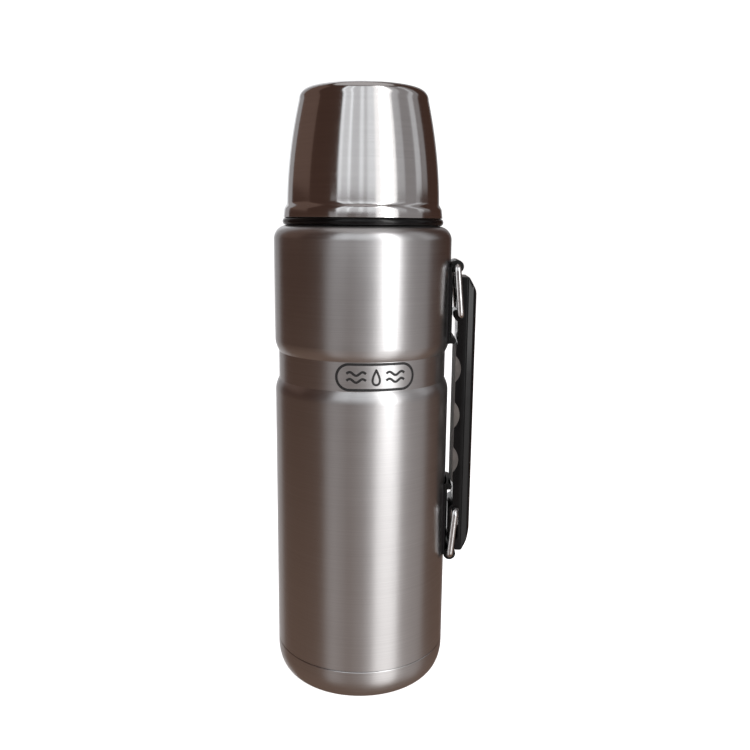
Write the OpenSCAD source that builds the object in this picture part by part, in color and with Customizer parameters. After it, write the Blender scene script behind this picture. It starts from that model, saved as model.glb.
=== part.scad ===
// Vacuum flask: double-walled steel body with a recessed band, screw stopper, steel drinking cup
// and a folding side handle that hangs on two wire bails.
// The ground is z = 0, the body's axis is the Z axis and the handle is on the +X side.

/* [Body] */
// Outside diameter of the body
body_d = 92; // [90:1:112]
// Height of the flat shoulder above the ground
body_h = 244; // [236:1:300]
// Thickness of the outer shell
shell_t = 0.6; // [0.5:0.1:1]
// Radius of the shoulder's rounding
shoulder_round = 7; // [5:0.5:9]
// Height of the base cap
base_h = 17.5; // [15:0.5:24]
// Thickness of the base cap
base_t = 0.6; // [0.5:0.1:1]
// Radial width of the base cap's rounded corner
base_corner = 9; // [6:0.5:12]
// Distance from the shoulder down to the middle of the recessed band
band_drop = 71.8; // [64:0.2:110]
// Height of the band's flat floor
band_floor = 14.5; // [8:0.5:18]
// Depth of the band
band_depth = 1.9; // [0.8:0.1:2]
// Height of each rounded edge beside the band
band_edge = 6.6; // [4:0.2:8]

/* [Liner] */
// Gap between the outer shell and the liner
vacuum_gap = 3.6; // [3.2:0.1:6]
// Thickness of the liner
liner_t = 0.5; // [0.4:0.1:0.8]
// Inside diameter of the mouth
mouth_d = 59.4; // [50:0.2:60]
// Gap between liner and shell in the neck
neck_gap = 0.8; // [0.5:0.1:1.2]
// Height of the neck above the shoulder
neck_h = 18; // [17:0.5:22]

/* [Screw threads] */
// Rise of every thread in one turn
lead = 8; // [7:0.5:9]
// Height of the thread ridges
thread_depth = 1.35; // [1:0.05:1.5]
// Radial clearance between mating threads
thread_gap = 0.45; // [0.4:0.05:0.6]
// Axial width of a ridge at its tip
thread_tip = 0.8; // [0.5:0.1:0.9]

/* [Collar and cup] */
// Height of the collar's visible ring
collar_h = 3.8; // [3:0.2:6]
// Thickness of the collar's sleeve
sleeve_t = 2.6; // [2:0.1:3]
// Thickness of the threaded ring in the cup
ring_t = 2.5; // [1.6:0.1:3]
// Height of the cup
cup_h = 63; // [56:1:80]
// Thickness of the cup's steel shell
cup_t = 0.6; // [0.5:0.1:0.8]
// Extra radius of the cup's rim outside its side wall
rim_step = 1.85; // [1:0.05:2.5]
// Rounding where the cup's side meets its top
cup_round = 5; // [3:0.5:8]
// Inward lean of the cup's side at its foot
cup_lean = 0.0214; // [0:0.001:0.05]
// Bow of the cup's side
cup_bow = 0.00206; // [0.001:0.0001:0.0025]

/* [Stopper] */
// Height of the stopper's knob
knob_h = 17; // [12:1:22]
// Diameter of the stopper's knob
knob_d = 47; // [36:1:54]

/* [Handle] */
// Length of the handle
handle_l = 148; // [140:1:170]
// Width of the handle
handle_w = 22; // [18:0.5:26]
// Distance from the shoulder down to the handle's top
handle_drop = 25.2; // [22:0.2:40]
// Distance from the body to the handle's outer face
handle_out = 13.2; // [12:0.2:16]
// Distance from the body to the inner edge of the handle beside the grip
grip_edge = 3.2; // [2.8:0.1:4]
// Distance from the body to the crown of the soft grip
grip_gap = 2.2; // [1.6:0.1:2.8]
// Length of the soft grip
grip_l = 74; // [68:1:76]
// Spacing of the finger scallops
scallop_step = 24.6; // [20:0.2:26]
// Diameter of the bail wire
wire_d = 3.4; // [2.6:0.1:3.6]
// Length of each bail between its two bars
bail_l = 25.2; // [22:0.2:27]
// Greatest outward swing of the bails in degrees
bail_swing = 40; // [30:1:45]
// Thickness of the bracket plates
bracket_t = 1.4; // [1:0.1:1.6]

/* [Hidden] */
$fn = 64;

// Body
body_r = body_d/2;
lap_h = 3;                                   // overlap of the base cap and the shell's foot
band_z = body_h - band_drop;
band_r = body_r - band_depth;
liner_r = body_r - shell_t - vacuum_gap;     // outside of the liner
liner_seam_z = base_h + 12.5;                // weld between the liner and its bottom
liner_floor_z = base_h - 0.5;                // underside of the liner's bottom
vacuum_floor_z = base_h/2;                   // underside of the vacuum base
foil_t = 0.15;
vent_r = 1.5;                                // evacuation hole in the vacuum base

// Neck
mouth_r = mouth_d/2;
mouth_z = body_h + neck_h;
lip_t = 0.8;
neck_r = mouth_r + liner_t + neck_gap + shell_t;
liner_neck_r = mouth_r + liner_t;
collar_top = body_h + collar_h;
sleeve_r = neck_r + sleeve_t;
sleeve_top = mouth_z - 2.5;

// Threads: all have one lead, so the stopper can carry the cup up with it
starts = 2;
pitch = lead/starts;
thread_root = thread_tip + 1;                // axial width where a ridge meets its wall
thread_embed = 0.3;
thread_steps = 36;                           // facets in one turn
thread_turns = 0.7;
cup_thread_z = collar_top + 2.9;
stopper_thread_z = body_h + 4.6;

// Cup
ring_r = sleeve_r + thread_depth + thread_gap;
cup_r = ring_r + ring_t + cup_t;             // side wall where it leaves the rim
rim_r = cup_r + rim_step;
collar_r = rim_r + 0.55;
cup_gasket_t = 1.3;
cup_z = collar_top + 0.1;
cup_top = collar_top + cup_h;
rim_h = 4.3;                                 // straight part of the rim
rim_slope_h = 2.6;                           // slope from the rim to the side wall
side_z = cup_z + rim_h + rim_slope_h;
ring_top = collar_top + 15.2;
cup_liner_gap = 1.6;
cup_liner_t = 0.6;

// Stopper
stopper_r = mouth_r - thread_depth - thread_gap;
stopper_foot = body_h - 1.4;
stopper_wall = 2;
seal_t = 1.2;
flange_r = neck_r - 0.4;
flange_h = 2.8;
flange_z = mouth_z + seal_t;
knob_z = flange_z + flange_h;
knob_r = knob_d/2;

// Handle and bails
wire_r = wire_d/2;
pin_fit = 0.05;                              // radial clearance of a bail bar in its bore
slot_fit = 0.25;                             // radial clearance of a bail bar in its slot
lug_wall = 1.6;
lug_r = wire_r + lug_wall;
handle_top = body_h - handle_drop;
handle_foot = handle_top - handle_l;
pivot_x = body_r + wire_r + 1;
upper_pivot_z = handle_top + lug_r + 1.9;
lower_pivot_z = handle_foot - 2.2;
bar_x = body_r + grip_edge + 1.8;
hang = asin((bar_x - pivot_x)/bail_l);       // lean of the folded bails
bail_drop = bail_l*cos(hang);
upper_bar_z = upper_pivot_z - bail_drop;
lower_bar_z = lower_pivot_z + bail_drop;
slot_l = 2*bail_l*(cos(hang) - cos(hang + bail_swing)) + 0.4;
barrel_w = handle_w + 0.6;
barrel_gap = 0.6;                            // room between the handle's foot and the lower barrel
bail_bend = 2.2;                             // bend radius of the bail wire
bail_half = barrel_w/2 + bail_bend;
seam_x = bar_x + lug_r + 0.1;                // joint between the handle's core and shell
ear_x = bar_x - 1.2;                         // inner face of the core at its ears
edge_x = body_r + grip_edge;
outer_x = body_r + handle_out;
grip_mid = (upper_bar_z + lower_bar_z)/2;
grip_top = grip_mid + grip_l/2;
grip_foot = grip_mid - grip_l/2;
crown_r = 70;
scallop_r = 10;
scallop_depth = 2.8;
tongue_w = 12;
tongue_d = 1.6;
bracket_w = handle_w + 2;
bracket_l = upper_pivot_z - grip_top - 1;
lip_h = 3.2;                                 // height of the lip on each bracket
bracket_lip_x = ear_x - 0.7;
screw_r = 1.25;
screw_head_r = 2.4;
screw_head_h = 1.2;
screw_l = 6.5;
screw_zs = [handle_top - 10.5, upper_bar_z - lug_r - screw_head_r - 1,
            lower_bar_z + lug_r + screw_head_r + 1.6];

// A rounded corner from [r, z] outwards and up, with exponent e
function corner(r, z, w, h, e, steps = 12) = [
    for (i = [0:steps]) let (a = 90*i/steps)
        [r + w*pow(sin(a), 2/e), z + h*(1 - pow(cos(a), 2/e))]
];

// A path moved sideways by t, to the left of its direction
function beside(p, t) = [
    for (i = [0:len(p) - 1]) let (d = p[min(i + 1, len(p) - 1)] - p[max(i - 1, 0)])
        p[i] + t*[-d[1], d[0]]/norm(d)
];
function reversed(p) = [for (i = [len(p) - 1:-1:0]) p[i]];
function wall(p, t) = concat(p, reversed(beside(p, t)));

// A rectangle in a revolved section
module ring_section(r_in, r_out, z_low, z_high) {
    translate([r_in, z_low]) square([r_out - r_in, z_high - z_low]);
}

module ring(r_in, r_out, z_low, z_high) {
    rotate_extrude() ring_section(r_in, r_out, z_low, z_high);
}

// Extrudes an outline in X and Z evenly to both sides of the XZ plane
module across(w) {
    rotate([90, 0, 0]) linear_extrude(w, center = true) children();
}

// One helical ridge on a wall of radius r_wall; r_tip below r_wall makes an inside thread
module ridge(r_wall, r_tip, z0, turns) {
    side = sign(r_tip - r_wall);
    r_root = r_wall - side*thread_embed;
    n = ceil(turns*thread_steps);
    run_in = 4;
    points = [
        for (i = [0:n], k = [0:3])
            let (
                a = 360*turns*i/n,
                ramp = min(1, 0.15 + 0.85*min(i, n - i)/run_in),
                root = k == 0 || k == 3,
                r = root ? r_root : r_root + (r_tip - r_root)*ramp,
                w = root ? thread_root : thread_tip,
                z = z0 + lead*a/360 + (k < 2 ? -w/2 : w/2)
            ) [r*cos(a), r*sin(a), z]
    ];
    sides = [
        for (i = [0:n - 1], k = [0:3], half = [0:1])
            let (a = 4*i + k, b = 4*i + (k + 1)%4)
                half == 0 ? [a, b, b + 4] : [a, b + 4, a + 4]
    ];
    ends = [[2, 1, 0], [3, 2, 0], [4*n, 4*n + 1, 4*n + 2], [4*n, 4*n + 2, 4*n + 3]];
    faces = concat(sides, ends);
    polyhedron(points, side > 0 ? faces : [for (f = faces) reversed(f)]);
}

// A whole multi-start thread
module thread(r_wall, r_tip, z0) {
    for (k = [0:starts - 1])
        rotate([0, 0, 360*k/starts]) ridge(r_wall, r_tip, z0, thread_turns);
}

// Body ------------------------------------------------------------------------------------------

band_low = band_z - band_floor/2;
band_high = band_z + band_floor/2;
edge_steps = 8;
lower_edge = [
    for (i = [0:edge_steps]) let (t = i/edge_steps)
        [body_r - band_depth*t*t, band_low - band_edge*(1 - t)]
];
upper_edge = [
    for (i = [edge_steps:-1:0]) let (t = i/edge_steps)
        [body_r - band_depth*t*t, band_high + band_edge*(1 - t)]
];
shoulder = [
    for (a = [0:10:90])
        [body_r - shoulder_round + shoulder_round*cos(a), body_h - shoulder_round + shoulder_round*sin(a)]
];
shell_path = concat([[body_r, base_h + 0.15]], lower_edge, upper_edge, shoulder,
                    [[neck_r, body_h], [neck_r, mouth_z - lip_t]]);

module outer_shell() {
    color("silver") rotate_extrude() {
        polygon(wall(shell_path, shell_t));
        ring_section(body_r - base_t - shell_t, body_r - base_t, base_h - lap_h, base_h + lap_h);
    }
}

module base_cap() {
    groove = [[0, 0], [18, 0], [19.5, 1.2], [body_r - base_corner - 6, 1.2],
              [body_r - base_corner - 4.5, 0]];
    side = corner(body_r - base_corner, 0, base_corner, base_h - lap_h, 2.2);
    color("silver") rotate_extrude() polygon(wall(concat(groove, side, [[body_r, base_h]]), base_t));
}

module vacuum_base() {
    r = body_r - base_t - shell_t;
    path = concat([[vent_r, vacuum_floor_z]],
                  corner(r - 8.4, vacuum_floor_z, 8.4, base_h - lap_h - vacuum_floor_z, 2),
                  [[r, base_h]]);
    color("darkgray") rotate_extrude() polygon(wall(path, shell_t));
}

module seal_bead() {
    color("goldenrod") {
        translate([0, 0, vacuum_floor_z]) cylinder(h = shell_t, r = vent_r);
        translate([0, 0, vacuum_floor_z - 1.2]) cylinder(h = 1.2, r1 = 2, r2 = 3.2);
    }
}

module inner_liner() {
    slope_h = 18;
    neck_foot = body_h - 4;
    slope = [
        for (i = [0:12]) let (s = sin(7.5*i))
            [liner_r + (liner_neck_r - liner_r)*s*s, neck_foot - slope_h*(1 - i/12)]
    ];
    path = concat([[liner_r, liner_seam_z]], slope, [[liner_neck_r, mouth_z - lip_t/2]]);
    color("gainsboro") {
        rotate_extrude() {
            polygon(wall(path, liner_t));
            ring_section(mouth_r, neck_r, mouth_z - lip_t, mouth_z);
        }
        thread(mouth_r, mouth_r - thread_depth, stopper_thread_z + pitch/2);
    }
}

module liner_bottom() {
    w = 13.6;
    path = concat([[0, liner_floor_z + 2], [9, liner_floor_z + 2]],
                  corner(liner_r - w, liner_floor_z, w, liner_seam_z - 1 - liner_floor_z, 2),
                  [[liner_r, liner_seam_z]]);
    color("gainsboro") rotate_extrude() polygon(wall(path, liner_t));
}

module foil_wrap() {
    color("peru") ring(liner_r, liner_r + foil_t, liner_seam_z + 6, body_h - 30);
}

module getter() {
    color("dimgray") translate([0, 0, liner_floor_z - 0.2]) cylinder(h = 2.2, r = 5);
}

// Collar ----------------------------------------------------------------------------------------

module neck_collar() {
    edge = collar_h/2;
    color("black") {
        difference() {
            rotate_extrude() {
                ring_section(neck_r, collar_r - edge, body_h, collar_top);
                translate([collar_r - edge, body_h + edge]) circle(r = edge);
                ring_section(neck_r, sleeve_r, body_h, sleeve_top);
            }
            ring(neck_r + 2, neck_r + 5, body_h - 1, body_h + 1);
        }
        thread(sleeve_r, sleeve_r + thread_depth, cup_thread_z);
    }
}

module collar_gasket() {
    color("dimgray") ring(neck_r + 2, neck_r + 5, body_h, body_h + 1);
}

// Brackets and bails ----------------------------------------------------------------------------

// A plate hugging the body from z_end towards the lip, with a barrel for the bail's bar.
// up is 1 when the barrel is at the plate's top and -1 when it is at its foot
module bracket(pivot_z, up) {
    far_z = pivot_z - up*bracket_l;
    lip_z = far_z + up*lip_h/2;
    difference() {
        union() {
            intersection() {
                ring(body_r, body_r + bracket_t, min(far_z, pivot_z), max(far_z, pivot_z));
                translate([0, -bracket_w/2, 0]) cube([2*body_r, bracket_w, 2*body_h]);
            }
            across(barrel_w) {
                translate([pivot_x, pivot_z]) circle(r = lug_r);
                translate([body_r - 2, lip_z - lip_h/2])
                    square([bracket_lip_x - body_r + 2 - lip_h/2, lip_h]);
                translate([bracket_lip_x - lip_h/2, lip_z]) circle(r = lip_h/2);
            }
        }
        across(bracket_w + 2) translate([pivot_x, pivot_z]) circle(r = wire_r + pin_fit);
        translate([0, 0, min(far_z, pivot_z) - 10]) cylinder(h = bracket_l + 20, r = body_r);
    }
}

module upper_bracket() {
    color("black") bracket(upper_pivot_z, 1);
}

module lower_bracket() {
    color("black") bracket(lower_pivot_z, -1);
}

// A closed wire loop in the YZ plane, with one bar on the Y axis and the other at z = h
module wire_loop(h) {
    straight = bail_half - bail_bend;
    rotate([90, 0, 90]) {
        for (y = [0, h])
            translate([-straight, y, 0]) rotate([0, 90, 0]) cylinder(h = 2*straight, r = wire_r);
        for (x = [-bail_half, bail_half])
            translate([x, bail_bend, 0]) rotate([-90, 0, 0])
                cylinder(h = h - 2*bail_bend, r = wire_r);
        for (k = [0:3])
            translate([k%3 == 0 ? straight : -straight, k < 2 ? h - bail_bend : bail_bend, 0])
                rotate([0, 0, 90*k]) bend();
    }
}

// A quarter turn of wire
module bend() {
    rotate_extrude(angle = 90) translate([bail_bend, 0]) circle(r = wire_r);
}

module upper_bail() {
    color("silver") translate([pivot_x, 0, upper_pivot_z]) rotate([0, 180 - hang, 0])
        wire_loop(bail_l);
}

module lower_bail() {
    color("silver") translate([pivot_x, 0, lower_pivot_z]) rotate([0, hang, 0]) wire_loop(bail_l);
}

// Handle ----------------------------------------------------------------------------------------

module scallops(grow = 0) {
    for (i = [-1:1])
        translate([edge_x + scallop_depth - scallop_r, grip_mid + i*scallop_step])
            circle(r = scallop_r + grow);
}

module handle_outline() {
    top_slope = 7;
    foot_slope = 10;
    slope_x = seam_x + 0.6;
    polygon([[seam_x, handle_foot], [slope_x, handle_foot], [outer_x - 1.4, handle_foot + 5.2],
             [outer_x, handle_foot + foot_slope], [outer_x, handle_top - top_slope],
             [slope_x, handle_top], [seam_x, handle_top]]);
}

module handle_shell() {
    edge = outer_x - seam_x - 0.7;
    side = handle_w/2;
    skin = 1.8;
    color("black") difference() {
        union() {
            difference() {
                intersection() {
                    across(handle_w) handle_outline();
                    linear_extrude(body_h) {
                        translate([seam_x, -side]) square([0.7, handle_w]);
                        translate([seam_x, edge - side]) square([outer_x - seam_x, handle_w - 2*edge]);
                        for (s = [-1, 1])
                            translate([seam_x + 0.7, s*(side - edge)]) circle(r = edge);
                    }
                }
                translate([seam_x - 1, skin - side, handle_foot + 6])
                    cube([outer_x - seam_x + 1 - skin, handle_w - 2*skin, handle_l - 12]);
            }
            for (z = screw_zs)
                translate([seam_x, 0, z]) rotate([0, 90, 0])
                    cylinder(h = outer_x - seam_x - skin + 0.2, r = 3);
        }
        for (z = screw_zs)
            translate([seam_x - 1, 0, z]) rotate([0, 90, 0])
                cylinder(h = screw_l - (seam_x - ear_x) + 1 + screw_head_h, r = screw_r);
    }
}

module handle_core() {
    color("black") difference() {
        across(handle_w) difference() {
            union() {
                translate([ear_x, handle_foot]) square([seam_x - ear_x, handle_l]);
                translate([edge_x, grip_foot]) square([seam_x - edge_x, grip_l]);
                translate([bar_x, upper_bar_z]) circle(r = lug_r);
                for (z = [lower_bar_z, lower_bar_z - slot_l])
                    translate([bar_x, z]) circle(r = lug_r);
                translate([bar_x - lug_r, lower_bar_z - slot_l]) square([2*lug_r, slot_l]);
            }
            translate([bar_x, upper_bar_z]) circle(r = wire_r + pin_fit);
            for (z = [lower_bar_z, lower_bar_z - slot_l])
                translate([bar_x, z]) circle(r = wire_r + slot_fit);
            translate([bar_x - wire_r - slot_fit, lower_bar_z - slot_l])
                square([2*(wire_r + slot_fit), slot_l]);
            translate([pivot_x, lower_pivot_z]) circle(r = lug_r + barrel_gap);
            scallops();
        }
        translate([edge_x - 1, -tongue_w/2, grip_foot + 4])
            cube([tongue_d + 1, tongue_w, grip_l - 8]);
        for (z = screw_zs) {
            translate([ear_x - 5, 0, z]) rotate([0, 90, 0])
                cylinder(h = 5 + screw_head_h, r = screw_head_r);
            translate([ear_x, 0, z]) rotate([0, 90, 0]) cylinder(h = 10, r = screw_r);
        }
    }
}

module handle_grip() {
    crown_x = body_r + grip_gap;
    color([0.3, 0.27, 0.25]) intersection() {
        union() {
            across(handle_w) {
                translate([crown_x, grip_foot]) square([edge_x - crown_x, grip_l]);
                intersection() {
                    scallops();
                    translate([crown_x, grip_foot]) square([20, grip_l]);
                }
            }
            translate([edge_x - 0.5, -tongue_w/2, grip_foot + 4])
                cube([tongue_d + 0.5, tongue_w, grip_l - 8]);
        }
        translate([crown_x + crown_r, 0, 0]) cylinder(h = body_h, r = crown_r, $fn = 360);
    }
}

module handle_screws() {
    color("silver") for (z = screw_zs) translate([ear_x, 0, z]) rotate([0, 90, 0]) {
        difference() {
            cylinder(h = screw_head_h, r = screw_head_r);
            for (a = [0, 90]) rotate([0, 0, a]) cube([2.6, 0.5, 1.4], center = true);
        }
        translate([0, 0, screw_head_h]) cylinder(h = screw_l - screw_head_h, r = screw_r);
    }
}

// Cup -------------------------------------------------------------------------------------------

// Outside radius of the cup's side wall at height z
function cup_side(z) = cup_r - cup_lean*(z - side_z) - cup_bow*pow(z - side_z, 2);

side_end = cup_top - cup_round;
side_steps = 14;
cup_path = concat(
    [[rim_r, cup_z], [rim_r - 0.5, cup_z + rim_h], [cup_r, side_z]],
    [for (i = [1:side_steps]) let (z = side_z + (side_end - side_z)*i/side_steps) [cup_side(z), z]],
    [for (a = [15:15:90])
        [cup_side(side_end) - cup_round*(1 - cos(a)), side_end + cup_round*sin(a)]]
);
foot_r = cup_side(side_end) - cup_round - 2;

module cup_shell() {
    color("silver") rotate_extrude()
        polygon(wall(concat(cup_path, [[foot_r, cup_top], [foot_r - 1, cup_top - 0.5],
                                       [0, cup_top - 0.5]]), cup_t));
}

module cup_liner() {
    inside = cup_t + cup_liner_gap;
    last = cup_top - inside;
    round_z = last - cup_round;
    side = [
        for (i = [0:side_steps]) let (z = ring_top + 0.02 + (round_z - ring_top)*i/side_steps)
            [cup_side(z) - inside, z]
    ];
    bend = [
        for (a = [15:15:90])
            [cup_side(round_z) - inside - cup_round*(1 - cos(a)), round_z + cup_round*sin(a)]
    ];
    color("gainsboro") rotate_extrude()
        polygon(wall(concat(side, bend, [[0, last]]), cup_liner_t));
}

module cup_ring() {
    foot = collar_top + cup_gasket_t;
    outside = [for (z = [side_z:1:ring_top]) [cup_side(z) - cup_t - 0.03, z]];
    color([0.12, 0.12, 0.12]) {
        rotate_extrude() {
            polygon(concat([[ring_r, foot], [cup_r - cup_t - 0.03, foot]], outside,
                           [[cup_side(ring_top) - cup_t - 0.03, ring_top], [ring_r, ring_top]]));
            ring_section(ring_r, rim_r - cup_t - 0.55, foot, foot + 1.6);
        }
        thread(ring_r, ring_r - thread_depth, cup_thread_z + pitch/2);
    }
}

module cup_gasket() {
    color("gray") ring(ring_r, cup_r - 0.3, collar_top, collar_top + cup_gasket_t);
}

// Stopper ---------------------------------------------------------------------------------------

module stopper_body() {
    color([0.1, 0.1, 0.1]) {
        rotate_extrude() {
            ring_section(stopper_r - stopper_wall, stopper_r, stopper_foot, flange_z + 1);
            ring_section(0, flange_r, flange_z, knob_z);
        }
        thread(stopper_r, stopper_r + thread_depth, stopper_thread_z);
    }
}

module stopper_insulation() {
    color("beige") ring(0, stopper_r - stopper_wall, stopper_foot + 2, flange_z);
}

module stopper_bottom() {
    color([0.1, 0.1, 0.1]) {
        ring(0, stopper_r - stopper_wall, stopper_foot, stopper_foot + 2);
        ring(0, stopper_r - 0.4, stopper_foot - 1.4, stopper_foot);
    }
}

module stopper_seal() {
    color("gray") ring(stopper_r + 0.3, flange_r, mouth_z, mouth_z + seal_t);
}

module stopper_knob() {
    flutes = 20;
    flute_r = 2.4;
    edge = 4;
    color([0.12, 0.12, 0.12]) difference() {
        rotate_extrude() {
            ring_section(0, knob_r, knob_z, knob_z + knob_h - edge);
            ring_section(0, knob_r - edge, knob_z, knob_z + knob_h);
            intersection() {
                translate([knob_r - edge, knob_z + knob_h - edge]) circle(r = edge);
                ring_section(0, knob_r, knob_z, knob_z + knob_h);
            }
        }
        for (i = [0:flutes - 1])
            rotate([0, 0, 360*i/flutes]) translate([knob_r + 1.5, 0, knob_z + 3])
                cylinder(h = knob_h, r = flute_r);
    }
}

outer_shell();
base_cap();
vacuum_base();
seal_bead();
inner_liner();
liner_bottom();
foil_wrap();
getter();
neck_collar();
collar_gasket();
upper_bracket();
lower_bracket();
upper_bail();
lower_bail();
handle_shell();
handle_core();
handle_grip();
handle_screws();
cup_shell();
cup_liner();
cup_ring();
cup_gasket();
stopper_body();
stopper_insulation();
stopper_bottom();
stopper_knob();
stopper_seal();
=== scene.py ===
"""Looks of the vacuum flask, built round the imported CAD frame. Lengths are in metres."""

import math

import bmesh
import bpy
from mathutils import Matrix, Vector


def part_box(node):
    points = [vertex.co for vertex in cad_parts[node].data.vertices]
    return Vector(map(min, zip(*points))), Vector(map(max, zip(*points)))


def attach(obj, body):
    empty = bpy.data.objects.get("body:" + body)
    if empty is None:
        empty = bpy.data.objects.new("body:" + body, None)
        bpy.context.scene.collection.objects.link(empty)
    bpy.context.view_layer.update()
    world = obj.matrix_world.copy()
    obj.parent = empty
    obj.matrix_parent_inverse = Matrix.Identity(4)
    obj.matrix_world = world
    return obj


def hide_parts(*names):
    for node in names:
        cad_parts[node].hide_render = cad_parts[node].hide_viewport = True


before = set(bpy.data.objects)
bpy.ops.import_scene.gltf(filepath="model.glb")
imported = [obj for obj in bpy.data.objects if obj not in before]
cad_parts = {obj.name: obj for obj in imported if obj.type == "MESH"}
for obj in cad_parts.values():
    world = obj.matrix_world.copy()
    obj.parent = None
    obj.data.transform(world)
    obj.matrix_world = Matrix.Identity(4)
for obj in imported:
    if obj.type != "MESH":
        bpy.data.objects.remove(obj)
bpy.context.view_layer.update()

MM = 0.001

# ---------------------------------------------------------------------------------------------
# Sizes, from the frame
# ---------------------------------------------------------------------------------------------

collar_low, collar_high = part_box("neck_collar")
cup_low, cup_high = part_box("cup_shell")
cover_low, cover_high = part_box("handle_shell")
grip_low, grip_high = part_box("handle_grip")
gasket_low, gasket_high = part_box("cup_gasket")

BODY_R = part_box("outer_shell")[1].x
BODY_H = collar_low.z
SEAM_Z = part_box("base_cap")[1].z
COLLAR_TOP = gasket_low.z
COLLAR_R = collar_high.x
CUP_TOP = cup_high.z
RIM_R = cup_high.x

BAND_Z = BODY_H - 71.8 * MM
BAND_FLOOR = 14.5 * MM
BAND_DEPTH = 1.9 * MM
BAND_EDGE = 6.6 * MM
SHOULDER_R = 7 * MM
SHELL_T = 0.6 * MM
BASE_CORNER = 9 * MM
BASE_LAP = 3 * MM
CUP_R = RIM_R - 1.85 * MM
CUP_ROUND = 5 * MM
CUP_FOOT = cup_low.z + 6.9 * MM
CUP_TAPER = 0.0214
CUP_BULGE = 0.00206
NECK_R = 31.6 * MM

# ---------------------------------------------------------------------------------------------
# Camera
# ---------------------------------------------------------------------------------------------

CAMERA_DISTANCE = 418.1 * MM
CAMERA_HEIGHT = 244.6 * MM
CAMERA_AZIMUTH = math.radians(2)
CAMERA_PAN = math.radians(0.96)
CAMERA_TILT = math.radians(10.76)
CAMERA_ROLL = math.radians(0.586)
CAMERA_LENS = 37.985


def make_camera():
    """The camera stands a little to the handle's side and looks down at the flask."""
    data = bpy.data.cameras.new("camera")
    data.sensor_width = 36
    data.lens = CAMERA_LENS
    data.clip_start = 0.01
    camera = bpy.data.objects.new("camera", data)
    bpy.context.scene.collection.objects.link(camera)
    heading = CAMERA_PAN - CAMERA_AZIMUTH
    level = Vector((math.sin(heading), math.cos(heading), 0))
    right = Vector((math.cos(heading), -math.sin(heading), 0))
    forward = level * math.cos(CAMERA_TILT) - Vector((0, 0, math.sin(CAMERA_TILT)))
    up = right.cross(forward)
    turned_right = right * math.cos(CAMERA_ROLL) + up * math.sin(CAMERA_ROLL)
    turned_up = up * math.cos(CAMERA_ROLL) - right * math.sin(CAMERA_ROLL)
    place = Vector((CAMERA_DISTANCE * math.sin(CAMERA_AZIMUTH),
                    -CAMERA_DISTANCE * math.cos(CAMERA_AZIMUTH), CAMERA_HEIGHT))
    turn = Matrix((turned_right, turned_up, -forward)).transposed()
    camera.matrix_world = Matrix.Translation(place) @ turn.to_4x4()
    bpy.context.scene.camera = camera


make_camera()

# ---------------------------------------------------------------------------------------------
# Node helpers and materials
# ---------------------------------------------------------------------------------------------


class Nodes:
    """Builds one material's node tree."""

    def __init__(self, name):
        self.material = bpy.data.materials.new(name)
        self.material.use_nodes = True
        self.tree = self.material.node_tree
        self.shader = self.tree.nodes["Principled BSDF"]

    def add(self, kind, **settings):
        node = self.tree.nodes.new(kind)
        for key, value in settings.items():
            setattr(node, key, value)
        return node

    def link(self, source, target):
        self.tree.links.new(source, target)

    def set(self, **values):
        for key, value in values.items():
            self.shader.inputs[key.replace("_", " ")].default_value = value

    def coordinates(self, scale):
        """Object coordinates, stretched by scale along each axis."""
        place = self.add("ShaderNodeTexCoord")
        mapping = self.add("ShaderNodeMapping")
        mapping.inputs["Scale"].default_value = scale
        self.link(place.outputs["Object"], mapping.inputs["Vector"])
        return mapping.outputs["Vector"]

    def noise(self, scale, stretch=(1, 1, 1), detail=4, roughness=0.5):
        node = self.add("ShaderNodeTexNoise")
        node.inputs["Scale"].default_value = scale
        node.inputs["Detail"].default_value = detail
        node.inputs["Roughness"].default_value = roughness
        self.link(self.coordinates(stretch), node.inputs["Vector"])
        return node.outputs["Fac"]

    def ramp(self, source, low, high, start=0.0, end=1.0):
        """A number from low to high as source goes from start to end."""
        node = self.add("ShaderNodeMapRange")
        for key, value in (("From Min", start), ("From Max", end), ("To Min", low), ("To Max", high)):
            node.inputs[key].default_value = value
        self.link(source, node.inputs["Value"])
        return node.outputs["Result"]

    def tint(self, source, dark, light, start=0.0, end=1.0):
        """A colour from dark to light as source goes from start to end."""
        node = self.add("ShaderNodeValToRGB")
        ramp = node.color_ramp
        ramp.elements[0].position = start
        ramp.elements[0].color = (*dark, 1)
        ramp.elements[1].position = end
        ramp.elements[1].color = (*light, 1)
        self.link(source, node.inputs["Fac"])
        return node.outputs["Color"]

    def bump(self, height, distance, strength=1.0, normal=None):
        node = self.add("ShaderNodeBump")
        node.inputs["Strength"].default_value = strength
        node.inputs["Distance"].default_value = distance
        self.link(height, node.inputs["Height"])
        if normal is not None:
            self.link(normal, node.inputs["Normal"])
        return node.outputs["Normal"]


def brushed_steel(name, light, dark, rough, grain, spread):
    """Steel with hairlines round the Z axis; spread is how far they smear a highlight up and down."""
    n = Nodes(name)
    hairs = n.noise(1, (14, 14, 2600), detail=6, roughness=0.65)
    bands = n.noise(1, (5, 5, 240), detail=3)
    smears = n.noise(38, detail=3)
    n.link(n.tint(hairs, dark, light, 0.3, 0.7), n.shader.inputs["Base Color"])
    total = n.add("ShaderNodeMath", operation="ADD")
    n.link(n.ramp(hairs, -0.02, 0.02, 0.3, 0.7), total.inputs[0])
    n.link(n.ramp(smears, rough - 0.02, rough + 0.02, 0.3, 0.7), total.inputs[1])
    n.link(total.outputs[0], n.shader.inputs["Roughness"])
    n.link(n.bump(bands, 2 * grain, 0.5, n.bump(hairs, grain)), n.shader.inputs["Normal"])
    tangent = n.add("ShaderNodeTangent", direction_type="RADIAL", axis="Z")
    n.link(tangent.outputs["Tangent"], n.shader.inputs["Tangent"])
    n.set(Metallic=1.0, Anisotropic=spread, Anisotropic_Rotation=0.25)
    return n.material


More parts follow.
